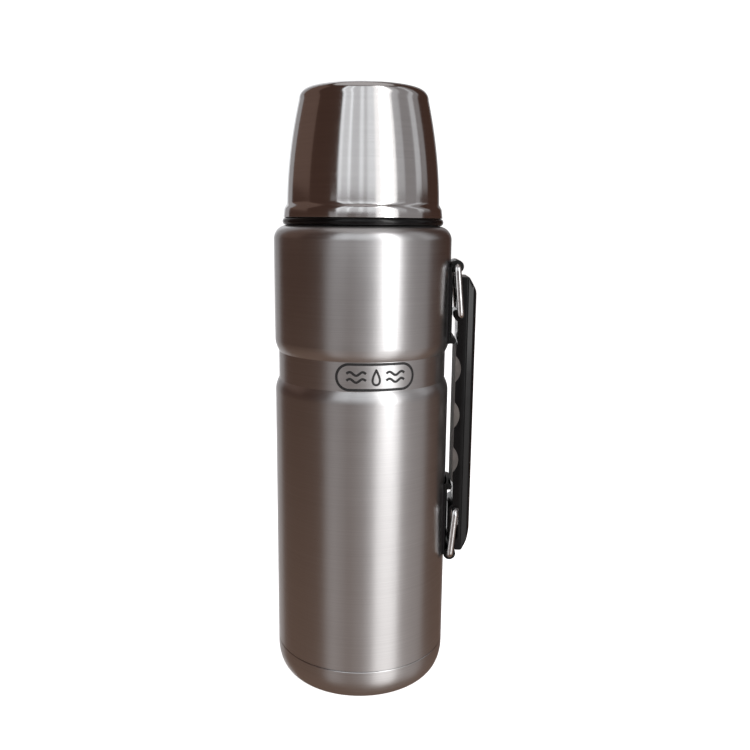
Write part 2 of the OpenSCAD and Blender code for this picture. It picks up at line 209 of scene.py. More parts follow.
def polished_steel(name):
    """Bright wire with fine scuffs."""
    n = Nodes(name)
    scuffs = n.noise(900, detail=5)
    n.link(n.tint(scuffs, (0.66, 0.66, 0.67), (0.8, 0.8, 0.8), 0.35, 0.65), n.shader.inputs["Base Color"])
    n.link(n.ramp(scuffs, 0.08, 0.2, 0.3, 0.8), n.shader.inputs["Roughness"])
    n.link(n.bump(scuffs, 0.01 * MM, 0.3), n.shader.inputs["Normal"])
    n.set(Metallic=1.0)
    return n.material


def moulded_plastic(name, dark, light, rough, grain, gloss=0.5):
    """Moulded plastic with a faint orange-peel surface and slightly uneven gloss."""
    n = Nodes(name)
    peel = n.noise(420, detail=3)
    dust = n.noise(90, detail=5)
    n.link(n.tint(dust, dark, light, 0.35, 0.7), n.shader.inputs["Base Color"])
    n.link(n.ramp(dust, rough - 0.04, rough + 0.06, 0.3, 0.75), n.shader.inputs["Roughness"])
    n.link(n.bump(peel, grain), n.shader.inputs["Normal"])
    n.set(Specular_IOR_Level=gloss)
    return n.material


def soft_rubber(name, dark, light, rough, grain):
    """Matt rubber or foam with a fine grain and a soft sheen."""
    n = Nodes(name)
    fine = n.noise(2600, detail=2)
    blotch = n.noise(130, detail=5)
    n.link(n.tint(blotch, dark, light, 0.3, 0.7), n.shader.inputs["Base Color"])
    n.link(n.ramp(blotch, rough - 0.06, rough + 0.08, 0.3, 0.7), n.shader.inputs["Roughness"])
    n.link(n.bump(fine, grain), n.shader.inputs["Normal"])
    n.set(Sheen_Weight=0.15)
    return n.material


def printed_ink(name):
    """Slightly uneven black print."""
    n = Nodes(name)
    speck = n.noise(1500, detail=3)
    n.link(n.tint(speck, (0.008, 0.008, 0.009), (0.02, 0.02, 0.021), 0.3, 0.7),
           n.shader.inputs["Base Color"])
    n.link(n.ramp(speck, 0.35, 0.5, 0.3, 0.7), n.shader.inputs["Roughness"])
    return n.material


BODY_STEEL = brushed_steel("body_steel", (0.68, 0.68, 0.685), (0.61, 0.61, 0.615), 0.31, 0.00015 * MM, 0.4)
CUP_STEEL = brushed_steel("cup_steel", (0.79, 0.785, 0.785), (0.71, 0.705, 0.705), 0.14, 0.001 * MM, 0.5)
LINER_STEEL = brushed_steel("liner_steel", (0.7, 0.7, 0.7), (0.6, 0.6, 0.6), 0.24, 0.003 * MM, 0.4)
WIRE_STEEL = polished_steel("wire_steel")
BLACK_GLOSS = moulded_plastic("black_plastic", (0.002, 0.002, 0.0022), (0.004, 0.004, 0.0043), 0.13,
                              0.004 * MM, 0.3)
BLACK_MATT = moulded_plastic("black_bracket_plastic", (0.003, 0.003, 0.0032), (0.005, 0.005, 0.0053), 0.3,
                             0.004 * MM, 0.25)
INNER_BLACK = moulded_plastic("inner_plastic", (0.018, 0.018, 0.019), (0.034, 0.034, 0.035), 0.42,
                              0.03 * MM)
GRIP_RUBBER = soft_rubber("grip_rubber", (0.06, 0.05, 0.046), (0.11, 0.094, 0.085), 0.62, 0.03 * MM)
SILICONE = soft_rubber("seal_silicone", (0.36, 0.36, 0.35), (0.48, 0.48, 0.47), 0.45, 0.01 * MM)
FOAM = soft_rubber("foam", (0.7, 0.66, 0.55), (0.85, 0.82, 0.72), 0.85, 0.05 * MM)
INK = printed_ink("printed_ink")

CAD_MATERIALS = {
    "vacuum_base": LINER_STEEL, "seal_bead": LINER_STEEL, "inner_liner": LINER_STEEL,
    "liner_bottom": LINER_STEEL, "foil_wrap": LINER_STEEL, "getter": LINER_STEEL,
    "collar_gasket": SILICONE, "upper_bracket": BLACK_MATT, "lower_bracket": BLACK_MATT,
    "upper_bail": WIRE_STEEL, "lower_bail": WIRE_STEEL, "handle_screws": WIRE_STEEL,
    "cup_liner": LINER_STEEL, "cup_ring": INNER_BLACK, "cup_gasket": SILICONE,
    "stopper_body": INNER_BLACK, "stopper_insulation": FOAM, "stopper_bottom": INNER_BLACK,
    "stopper_knob": INNER_BLACK, "stopper_seal": SILICONE,
    "handle_shell": BLACK_GLOSS, "handle_core": BLACK_GLOSS, "handle_grip": GRIP_RUBBER,
    "outer_shell": BODY_STEEL, "base_cap": BODY_STEEL, "neck_collar": BLACK_GLOSS,
    "cup_shell": CUP_STEEL,
}
for node_name, cad_material in CAD_MATERIALS.items():
    node_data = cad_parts[node_name].data
    node_data.materials.clear()
    node_data.materials.append(cad_material)

# ---------------------------------------------------------------------------------------------
# Mesh helpers
# ---------------------------------------------------------------------------------------------

SHARP = math.radians(28)


def finished(bm, name, material, body, replaced=()):
    """Turns bm into a piece that rides on body and stands for the replaced nodes."""
    bmesh.ops.recalc_face_normals(bm, faces=bm.faces)
    for face in bm.faces:
        face.smooth = True
    for edge in bm.edges:
        edge.smooth = not (edge.is_manifold and edge.calc_face_angle(0) > SHARP)
    mesh = bpy.data.meshes.new(name)
    bm.to_mesh(mesh)
    bm.free()
    mesh.materials.append(material)
    piece = bpy.data.objects.new(name, mesh)
    bpy.context.scene.collection.objects.link(piece)
    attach(piece, body)
    if replaced:
        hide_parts(*replaced)
    return piece


def revolve(bm, outline, segments=240):
    """Spins a closed outline of (radius, z) points round the Z axis."""
    rings = []
    for radius, z in outline:
        if radius < 1e-7:
            rings.append([bm.verts.new((0, 0, z))])
        else:
            rings.append([
                bm.verts.new((radius * math.cos(a), radius * math.sin(a), z))
                for a in (2 * math.pi * k / segments for k in range(segments))
            ])
    for i, ring in enumerate(rings):
        after = rings[(i + 1) % len(rings)]
        for k in range(segments):
            m = (k + 1) % segments
            corners = [ring[k % len(ring)], ring[m % len(ring)], after[m % len(after)],
                       after[k % len(after)]]
            corners = list(dict.fromkeys(corners))
            if len(corners) > 2:
                bm.faces.new(corners)


def beside(path, distance):
    """The path moved to the left of its direction."""
    moved = []
    for i, (radius, z) in enumerate(path):
        a, b = path[max(i - 1, 0)], path[min(i + 1, len(path) - 1)]
        d = Vector((b[0] - a[0], b[1] - a[1])).normalized()
        moved.append((max(radius - distance * d.y, 0), z + distance * d.x))
    return moved


def walled(path, thickness):
    """A closed outline of a wall whose outside is path."""
    return path + beside(path, thickness)[::-1]


def corner(radius, z, width, height, exponent, steps=28):
    """A rounded corner from (radius, z) outwards and up."""
    points = []
    for i in range(steps + 1):
        a = math.pi / 2 * i / steps
        points.append((radius + width * math.sin(a) ** (2 / exponent),
                       z + height * (1 - math.cos(a) ** (2 / exponent))))
    return points


# ---------------------------------------------------------------------------------------------
# Body
# ---------------------------------------------------------------------------------------------


def make_outer_shell():
    """The shell with its recessed band, rounded shoulder and neck."""
    low, high = BAND_Z - BAND_FLOOR / 2, BAND_Z + BAND_FLOOR / 2
    steps = 16
    lower = [(BODY_R - BAND_DEPTH * (i / steps) ** 2, low - BAND_EDGE * (1 - i / steps))
             for i in range(steps + 1)]
    upper = [(BODY_R - BAND_DEPTH * (i / steps) ** 2, high + BAND_EDGE * (1 - i / steps))
             for i in range(steps, -1, -1)]
    centre_r, centre_z = BODY_R - SHOULDER_R, BODY_H - SHOULDER_R
    shoulder = [(centre_r + SHOULDER_R * math.cos(math.radians(a)),
                 centre_z + SHOULDER_R * math.sin(math.radians(a))) for a in range(0, 91, 5)]
    lip_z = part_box("stopper_seal")[0].z - 0.8 * MM
    foot = [(BODY_R - 0.25 * MM, SEAM_Z + 0.12 * MM), (BODY_R, SEAM_Z + 0.4 * MM)]
    path = foot + lower + upper + shoulder + [(NECK_R, BODY_H), (NECK_R, lip_z)]
    bm = bmesh.new()
    revolve(bm, walled(path, SHELL_T))
    return finished(bm, "shell_skin", BODY_STEEL, "root", ["outer_shell"])


def make_base_cap():
    """The cap over the foot, with a ring groove in its underside."""
    flat_r = BODY_R - BASE_CORNER
    groove = [(0, 0), (18 * MM, 0), (19.5 * MM, 1.2 * MM), (flat_r - 6 * MM, 1.2 * MM),
              (flat_r - 4.5 * MM, 0)]
    side = corner(flat_r, 0, BASE_CORNER, SEAM_Z - BASE_LAP, 2.2)
    top = [(BODY_R, SEAM_Z - 0.3 * MM), (BODY_R - 0.2 * MM, SEAM_Z)]
    bm = bmesh.new()
    revolve(bm, walled(groove + side + top, SHELL_T))
    return finished(bm, "base_cap_skin", BODY_STEEL, "root", ["base_cap"])


def cup_side(z):
    """Outside radius of the cup at height z."""
    u = (z - CUP_FOOT) / MM
    return CUP_R - (CUP_TAPER * u + CUP_BULGE * u * u) * MM


def make_cup_shell():
    """The cup's outside: a stepped rim, a bulging taper, a rounded edge and a dished top."""
    end = CUP_TOP - CUP_ROUND
    slope_low, slope_high = cup_low.z + 3.8 * MM, CUP_FOOT + 0.5 * MM
    straight_r = RIM_R - 0.4 * MM
    slope_r = cup_side(slope_high)
    rim = [(RIM_R - 0.25 * MM, cup_low.z), (RIM_R - 0.05 * MM, cup_low.z + 0.12 * MM),
           (RIM_R, cup_low.z + 0.4 * MM)]
    rim += [(straight_r + (slope_r - straight_r) * (1 - math.cos(math.pi * i / 16)) / 2,
             slope_low + (slope_high - slope_low) * i / 16) for i in range(17)]
    steps = 40
    side = [(cup_side(z), z) for z in (slope_high + (end - slope_high) * i / steps
                                       for i in range(1, steps + 1))]
    round_top = [(cup_side(end) - CUP_ROUND * (1 - math.cos(a)), end + CUP_ROUND * math.sin(a))
                 for a in (math.radians(d) for d in range(6, 91, 6))]
    foot_r = round_top[-1][0] - 2 * MM
    top = [(foot_r, CUP_TOP), (foot_r - 1 * MM, CUP_TOP - 0.5 * MM), (0, CUP_TOP - 0.5 * MM)]
    bm = bmesh.new()
    revolve(bm, walled(rim + side + round_top + top, SHELL_T))
    return finished(bm, "cup_skin", CUP_STEEL, "cup", ["cup_shell"])


# ---------------------------------------------------------------------------------------------
# Turned inner parts
# ---------------------------------------------------------------------------------------------

LEAD = 8 * MM
THREAD_TIP = 0.8 * MM
THREAD_DEPTH = 1.35 * MM
THREAD_TURNS = 0.7
MOUTH_R = 29.7 * MM
MOUTH_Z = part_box("inner_liner")[1].z
SLEEVE_R = 34.2 * MM
SLEEVE_TOP = collar_high.z
COLLAR_EDGE = (COLLAR_TOP - BODY_H) / 2
CUP_THREAD_Z = COLLAR_TOP + 2.9 * MM
STOPPER_THREAD_Z = BODY_H + 4.6 * MM
RING_R = SLEEVE_R + THREAD_DEPTH + 0.45 * MM


def add_thread(bm, wall_r, tip_r, z0, phase=0.0):
    """Two helical ridges with rounded crests on a wall, run in at both ends."""
    side = 1 if tip_r > wall_r else -1
    root_r = wall_r - side * 0.2 * MM
    steps = 110
    for start in (0, math.pi):
        rings = []
        for i in range(steps + 1):
            turn = THREAD_TURNS * i / steps
            a = 2 * math.pi * turn + start + phase
            run = min(1, min(i, steps - i) / 14)
            height = side * THREAD_DEPTH * math.sin(run * math.pi / 2)
            half_root, half_tip = (THREAD_TIP + 0.9 * MM) / 2, THREAD_TIP / 2
            z = z0 + LEAD * turn
            section = [(root_r, -half_root), (wall_r + 0.75 * height, -half_tip - 0.12 * MM),
                       (wall_r + 0.94 * height, -half_tip), (wall_r + height, -half_tip * 0.55),
                       (wall_r + height, half_tip * 0.55), (wall_r + 0.94 * height, half_tip),
                       (wall_r + 0.75 * height, half_tip + 0.12 * MM), (root_r, half_root)]
            rings.append([bm.verts.new((r * math.cos(a), r * math.sin(a), z + dz))
                          for r, dz in section])
        for a, b in zip(rings, rings[1:]):
            for k in range(len(a)):
                m = (k + 1) % len(a)
                bm.faces.new((a[k], a[m], b[m], b[k]))
        bm.faces.new(rings[0])
        bm.faces.new(rings[-1])


def rounded_ring(r_in, r_out, z_low, z_high, edge, steps=5):
    """Closed outline of a ring whose four edges are rounded."""
    outline = []
    for centre_r, centre_z, first in ((r_out - edge, z_low + edge, -90), (r_out - edge, z_high - edge, 0),
                                      (r_in + edge, z_high - edge, 90), (r_in + edge, z_low + edge, 180)):
        for i in range(steps + 1):
            a = math.radians(first + 90 * i / steps)
            outline.append((centre_r + edge * math.cos(a), centre_z + edge * math.sin(a)))
    return outline


def make_neck_collar():
    """The black ring at the neck and the threaded sleeve under the cup."""
    middle = BODY_H + COLLAR_EDGE
    flange = [(COLLAR_R - COLLAR_EDGE + COLLAR_EDGE * math.cos(math.radians(a)),
               middle + COLLAR_EDGE * math.sin(math.radians(a))) for a in range(-90, 91, 9)]
    inner = NECK_R + 0.02 * MM
    outline = ([(inner, BODY_H)] + flange + [(SLEEVE_R + 0.5 * MM, COLLAR_TOP),
               (SLEEVE_R, COLLAR_TOP + 0.5 * MM), (SLEEVE_R, SLEEVE_TOP - 0.6 * MM),
               (SLEEVE_R - 0.2 * MM, SLEEVE_TOP - 0.18 * MM), (SLEEVE_R - 0.6 * MM, SLEEVE_TOP),
               (inner, SLEEVE_TOP)])
    bm = bmesh.new()
    revolve(bm, outline)
    add_thread(bm, SLEEVE_R, SLEEVE_R + THREAD_DEPTH, CUP_THREAD_Z)
    return finished(bm, "collar_moulding", BLACK_GLOSS, "root", ["neck_collar"])


def make_liner():
    """The inner wall with the stopper's thread in its mouth, and its bowl."""
    liner_low, liner_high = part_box("inner_liner")
    wall_r, liner_t, seam_z = liner_high.x, 0.5 * MM, liner_low.z
    neck_foot, slope_h = BODY_H - 4 * MM, 18 * MM
    narrow = MOUTH_R + liner_t
    slope = [(wall_r + (narrow - wall_r) * math.sin(math.pi / 2 * i / 32) ** 2,
              neck_foot - slope_h * (1 - i / 32)) for i in range(33)]
    path = ([(wall_r, seam_z)] + slope + [(narrow, MOUTH_Z - 0.8 * MM), (NECK_R, MOUTH_Z - 0.8 * MM),
            (NECK_R, MOUTH_Z - 0.2 * MM), (NECK_R - 0.2 * MM, MOUTH_Z), (MOUTH_R + 0.2 * MM, MOUTH_Z),
            (MOUTH_R, MOUTH_Z - 0.2 * MM)])
    inside = [(r - liner_t, z) for r, z in slope[::-1]] + [(wall_r - liner_t, seam_z)]
    bm = bmesh.new()
    revolve(bm, path + inside)
    add_thread(bm, MOUTH_R, MOUTH_R - THREAD_DEPTH, STOPPER_THREAD_Z + LEAD / 4)
    finished(bm, "liner_wall", LINER_STEEL, "root", ["inner_liner"])
    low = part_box("liner_bottom")[0].z
    width = 13.6 * MM
    bowl = ([(0, low + 2 * MM), (9 * MM, low + 2 * MM)]
            + corner(wall_r - width, low, width, seam_z - 1 * MM - low, 2) + [(wall_r, seam_z)])
    bm = bmesh.new()
    revolve(bm, walled(bowl, liner_t))
    finished(bm, "liner_bowl", LINER_STEEL, "root", ["liner_bottom"])


def make_cup_inside():
    """The cup's lining, threaded ring and gasket."""
    inside, thin = 2.2 * MM, 0.6 * MM
    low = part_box("cup_liner")[0].z
    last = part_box("cup_liner")[1].z
    round_z = last - CUP_ROUND
    side = [(cup_side(z) - inside, z) for z in (low + (round_z - low) * i / 40 for i in range(41))]
    bend = [(cup_side(round_z) - inside - CUP_ROUND * (1 - math.cos(a)), round_z + CUP_ROUND * math.sin(a))
            for a in (math.radians(d) for d in range(6, 91, 6))]
    bm = bmesh.new()
    revolve(bm, walled(side + bend + [(0, last)], thin))
    finished(bm, "cup_lining", LINER_STEEL, "cup", ["cup_liner"])
    ring_low, ring_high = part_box("cup_ring")
    top = ring_high.z
    wall = [(cup_side(CUP_FOOT + (top - CUP_FOOT) * i / 8) - 0.65 * MM, CUP_FOOT + (top - CUP_FOOT) * i / 8)
            for i in range(9)]
    wide = ring_high.x
    foot = ring_low.z
    outline = ([(RING_R, foot + 0.3 * MM), (RING_R + 0.3 * MM, foot), (wide, foot),
                (wide, foot + 1.6 * MM), (wall[0][0], foot + 1.6 * MM)] + wall + [(RING_R, top)])
    bm = bmesh.new()
    revolve(bm, outline)
    add_thread(bm, RING_R, RING_R - THREAD_DEPTH, CUP_THREAD_Z + LEAD / 4)
    finished(bm, "cup_thread_ring", INNER_BLACK, "cup", ["cup_ring"])
    bm = bmesh.new()
    revolve(bm, rounded_ring(RING_R, gasket_high.x, gasket_low.z, gasket_high.z, 0.4 * MM))
    finished(bm, "cup_gasket_ring", SILICONE, "cup_seal_ring", ["cup_gasket"])


def make_stopper():
    """The stopper's moulding, foot, seal and knob."""
    body_low, body_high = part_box("stopper_body")
    seal_low, seal_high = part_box("stopper_seal")
    stopper_r, wall = MOUTH_R - THREAD_DEPTH - 0.45 * MM, 2 * MM
    flange_z = body_high.z - 2.8 * MM
    flange_r = body_high.x
    outline = [(stopper_r - wall, body_low.z), (stopper_r - 0.3 * MM, body_low.z),
               (stopper_r, body_low.z + 0.3 * MM), (stopper_r, flange_z), (flange_r - 0.3 * MM, flange_z),
               (flange_r, flange_z + 0.3 * MM), (flange_r, body_high.z - 0.6 * MM),
               (flange_r - 0.18 * MM, body_high.z - 0.18 * MM), (flange_r - 0.6 * MM, body_high.z),
               (0, body_high.z), (0, flange_z), (stopper_r - wall, flange_z)]
    bm = bmesh.new()
    revolve(bm, outline)
    add_thread(bm, stopper_r, stopper_r + THREAD_DEPTH, STOPPER_THREAD_Z)
    finished(bm, "stopper_moulding", INNER_BLACK, "stopper", ["stopper_body"])

    foot_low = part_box("stopper_bottom")[0].z
    bm = bmesh.new()
    disc_r, edge = stopper_r - 0.4 * MM, 0.5 * MM
    revolve(bm, [(0, foot_low + 0.4 * MM), (disc_r - 6 * MM, foot_low + 0.4 * MM),
                 (disc_r - 6.4 * MM, foot_low), (disc_r - edge, foot_low),
                 (disc_r - 0.15 * MM, foot_low + 0.15 * MM), (disc_r, foot_low + edge),
                 (disc_r, body_low.z), (stopper_r - wall, body_low.z),
                 (stopper_r - wall, body_low.z + 2 * MM), (0, body_low.z + 2 * MM)])
    finished(bm, "stopper_foot", INNER_BLACK, "stopper", ["stopper_bottom"])

    bm = bmesh.new()
    seal_in = seal_high.x - (flange_r - stopper_r - 0.3 * MM)
    revolve(bm, rounded_ring(seal_in, flange_r, seal_low.z, seal_high.z, 0.35 * MM))
    finished(bm, "stopper_gasket", SILICONE, "stopper_seal_ring", ["stopper_seal"])

    make_knob()


def make_knob():
    """A fluted grip whose flutes run out above its foot."""
    low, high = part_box("stopper_knob")
    knob_r = high.x
    edge, flute_r, flutes, segments = 4 * MM, 2.4 * MM, 20, 480
    centre = knob_r + 1.5 * MM
    dish = 1.2 * MM
    profile = [(0, low.z), (knob_r - 0.3 * MM, low.z), (knob_r, low.z + 0.3 * MM)]
    profile += [(knob_r, z) for z in (low.z + d * MM for d in (1.5, 2.4, 3.0, 3.4, 4.2, 6, 8, 10, 12))]
    profile += [(knob_r - edge + edge * math.cos(math.radians(a)),
                 high.z - edge + edge * math.sin(math.radians(a))) for a in range(0, 91, 9)]
    profile += [(knob_r - edge - 1.5 * MM, high.z), (knob_r - edge - 2.6 * MM, high.z - 0.4 * dish),
                (knob_r - edge - 4 * MM, high.z - dish), (0, high.z - dish)]
    bm = bmesh.new()
    rings = []
    for radius, z in profile:
        if radius < 1e-7:
            rings.append([bm.verts.new((0, 0, z))])
            continue
        depth = min(1, max(0, (z - low.z - 2.4 * MM) / (1.8 * MM)))
        ring = []
        for k in range(segments):
            a = 2 * math.pi * k / segments
            off = (a * flutes / (2 * math.pi) + 0.5) % 1 - 0.5
            off *= 2 * math.pi / flutes
            offset = centre * math.sin(off)
            r = radius
            if abs(offset) < flute_r:
                cut = centre * math.cos(off) - math.sqrt(flute_r ** 2 - offset ** 2)
                r = min(radius, radius + (cut - knob_r) * depth if radius == knob_r
                        else max(cut, 0) if cut < radius else radius)
            ring.append(bm.verts.new((r * math.cos(a), r * math.sin(a), z)))
        rings.append(ring)
    for first, after in zip(rings, rings[1:]):
        for k in range(segments):
            m = (k + 1) % segments
            corners = list(dict.fromkeys([first[k % len(first)], first[m % len(first)],
                                          after[m % len(after)], after[k % len(after)]]))
            if len(corners) > 2:
                bm.faces.new(corners)
    finished(bm, "stopper_grip", INNER_BLACK, "stopper", ["stopper_knob"])


# ---------------------------------------------------------------------------------------------
# Handle, bails and brackets
# ---------------------------------------------------------------------------------------------

WIRE_R = 1.7 * MM
LUG_R = WIRE_R + 1.6 * MM
HALF_W = cover_high.y
PIVOT_X = BODY_R + WIRE_R + 1 * MM
HANDLE_TOP, HANDLE_FOOT = cover_high.z, cover_low.z
UPPER_PIVOT = HANDLE_TOP + LUG_R + 1.9 * MM
LOWER_PIVOT = HANDLE_FOOT - 2.2 * MM
BAIL_L = 25.2 * MM
EDGE_X = BODY_R + 3.2 * MM
BAR_X = EDGE_X + 1.8 * MM
HANG = math.asin((BAR_X - PIVOT_X) / BAIL_L)
SWING = math.radians(40)
UPPER_BAR = UPPER_PIVOT - BAIL_L * math.cos(HANG)
LOWER_BAR = LOWER_PIVOT + BAIL_L * math.cos(HANG)
SLOT_L = 2 * BAIL_L * (math.cos(HANG) - math.cos(HANG + SWING)) + 0.4 * MM
SEAM_X = cover_low.x
OUTER_X = cover_high.x
EAR_X = BAR_X - 1.2 * MM
GRIP_TOP, GRIP_FOOT = grip_high.z, grip_low.z
GRIP_MID = (GRIP_TOP + GRIP_FOOT) / 2
CROWN_X = grip_low.x
SCALLOP_STEP, SCALLOP_R, SCALLOP_DEPTH = 24.6 * MM, 10 * MM, 2.8 * MM
SCREW_HEAD_R, SCREW_HEAD_H = 2.4 * MM, 1.2 * MM
SCREW_SHANK_R, SCREW_L, SCREW_SUNK = 1.25 * MM, 6.4 * MM, 0.05 * MM
SCREW_ZS = (HANDLE_TOP - 10.5 * MM, UPPER_BAR - LUG_R - SCREW_HEAD_R - 1 * MM,
            LOWER_BAR + LUG_R + SCREW_HEAD_R + 1.6 * MM)
BRACKET_LEN = UPPER_PIVOT - GRIP_TOP - 1 * MM
BRACKET_T = 1.4 * MM
BARREL_HALF = HALF_W + 0.3 * MM


def arc(x, z, radius, first, last, steps):
    """Points of an arc in the XZ plane, in degrees from +X towards +Z."""
    return [(x + radius * math.cos(math.radians(first + (last - first) * i / steps)),
             z + radius * math.sin(math.radians(first + (last - first) * i / steps)))
            for i in range(steps + 1)]


def inset(outline, distance):
    """A closed outline moved inwards, keeping its number of points."""
    count = len(outline)
    area = sum(outline[i][0] * outline[(i + 1) % count][1] - outline[(i + 1) % count][0] * outline[i][1]
               for i in range(count))
    side = 1 if area > 0 else -1
    moved = []
    for i in range(count):
        p, a, b = Vector(outline[i]), Vector(outline[i - 1]), Vector(outline[(i + 1) % count])
        d1, d2 = (p - a).normalized(), (b - p).normalized()
        n1, n2 = Vector((-d1.y, d1.x)), Vector((-d2.y, d2.x))
        middle = (n1 + n2).normalized()
        moved.append(tuple(p + middle * side * distance / max(middle.dot(n1), 0.45)))
    return moved


def across(bm, outline, half, edge, shape=None, middle_steps=1):
    """Lofts an XZ outline across Y with rounded ends; shape may move each point."""
    near_end = [(-half + edge * (1 - math.cos(a)), edge * (1 - math.sin(a)))
                for a in (math.pi / 2 * i / 4 for i in range(5))]
    middle = [(-half + edge + (2 * half - 2 * edge) * i / middle_steps, 0) for i in range(1, middle_steps)]
    stations = near_end + middle + [(-y, distance) for y, distance in near_end[::-1]]
    loops = []
    for y, distance in stations:
        loop = inset(outline, distance) if distance > 1e-9 else outline
        loops.append([bm.verts.new(shape(x, y, z) if shape else (x, y, z)) for x, z in loop])
    for a, b in zip(loops, loops[1:]):
        for k in range(len(a)):
            m = (k + 1) % len(a)
            bm.faces.new((a[k], a[m], b[m], b[k]))
    bm.faces.new(loops[0])
    bm.faces.new(loops[-1])


def loose_object(bm, name):
    """A scratch object for a boolean cut."""
    bmesh.ops.recalc_face_normals(bm, faces=bm.faces)
    mesh = bpy.data.meshes.new(name)
    bm.to_mesh(mesh)
    bm.free()
    thing = bpy.data.objects.new(name, mesh)
    bpy.context.scene.collection.objects.link(thing)
    return thing


def carved(bm, cutters):
    """bm with the cutters' shapes taken out."""
    stock = loose_object(bm, "stock")
    tools = [loose_object(cutter, "cutter") for cutter in cutters]
    for tool in tools:
        cut = stock.modifiers.new("cut", "BOOLEAN")
        cut.operation, cut.solver, cut.object = "DIFFERENCE", "EXACT", tool
    mesh = bpy.data.meshes.new_from_object(stock.evaluated_get(bpy.context.evaluated_depsgraph_get()))
    result = bmesh.new()
    result.from_mesh(mesh)
    for thing in [stock] + tools:
        data = thing.data
        bpy.data.objects.remove(thing)
        bpy.data.meshes.remove(data)
    bpy.data.meshes.remove(mesh)
    return result


def scallop_arc(centre_z, steps=20):
    """One scallop's arc from its top to its foot, bulging away from the body."""
    half = math.degrees(math.acos((SCALLOP_R - SCALLOP_DEPTH) / SCALLOP_R))
    return arc(EDGE_X + SCALLOP_DEPTH - SCALLOP_R, centre_z, SCALLOP_R, half, -half, steps)


def make_handle_cover():
    """The outer half: rounded long edges and sloping ends."""
    top_slope, foot_slope, flat, blend = 8.7 * MM, 13.1 * MM, 0.7 * MM, 0.9 * MM
    slope_x = SEAM_X + 0.6 * MM
    edge = OUTER_X - SEAM_X - flat
    limit = [(HANDLE_FOOT, slope_x), (HANDLE_FOOT + 5.2 * MM, OUTER_X - 1.4 * MM),
             (HANDLE_FOOT + foot_slope, OUTER_X + blend), (HANDLE_TOP - top_slope, OUTER_X + blend),
             (HANDLE_TOP, slope_x)]

    def reach(z):
        for (z0, x0), (z1, x1) in zip(limit, limit[1:]):
            if z <= z1:
                return x0 + (x1 - x0) * (z - z0) / (z1 - z0)
        return slope_x

    def soft_min(a, b):
        h = max(blend - abs(a - b), 0) / blend
        return min(a, b) - h * h * blend / 4

    start = Vector((SEAM_X + 0.6 * MM, -HALF_W + 0.03 * MM))
    end = Vector((SEAM_X + 2.8 * MM, -HALF_W + 0.72 * MM))
    side = [(SEAM_X, -HALF_W), (SEAM_X + 0.45 * MM, -HALF_W)]
    side += [tuple(start.lerp(end, i / 4)) for i in range(5)]
    side += [(SEAM_X + flat + edge * math.sin(math.radians(a)),
              -HALF_W + edge * (1 - math.cos(math.radians(a)))) for a in range(36, 91, 6)]
    section = side + [(x, -y) for x, y in side[::-1]]
    steps = 90
    tuck_r = 0.5 * MM
    between = HANDLE_TOP - HANDLE_FOOT - 2 * tuck_r
    levels = [HANDLE_FOOT, HANDLE_FOOT + 0.3 * tuck_r]
    levels += [HANDLE_FOOT + tuck_r + between * i / steps for i in range(steps + 1)]
    levels += [HANDLE_TOP - 0.3 * tuck_r, HANDLE_TOP]
    bm = bmesh.new()
    loops = []
    for z in levels:
        near_end = min(z - HANDLE_FOOT, HANDLE_TOP - z)
        tuck = tuck_r * (1 - math.sqrt(1 - (1 - min(near_end / tuck_r, 1)) ** 2))
        x_max = reach(z) - tuck
        loop = []
        for x, y in section:
            x = x if x <= SEAM_X + 1e-6 else max(soft_min(x, x_max), SEAM_X)
            loop.append(bm.verts.new((x, math.copysign(max(abs(y) - tuck, 0), y), z)))
        loops.append(loop)
    for a, b in zip(loops, loops[1:]):
        for k in range(len(a)):
            m = (k + 1) % len(a)
            bm.faces.new((a[k], a[m], b[m], b[k]))
    bm.faces.new(loops[0])
    bm.faces.new(loops[-1])
    finished(bm, "handle_cover", BLACK_GLOSS, "handle", ["handle_shell"])


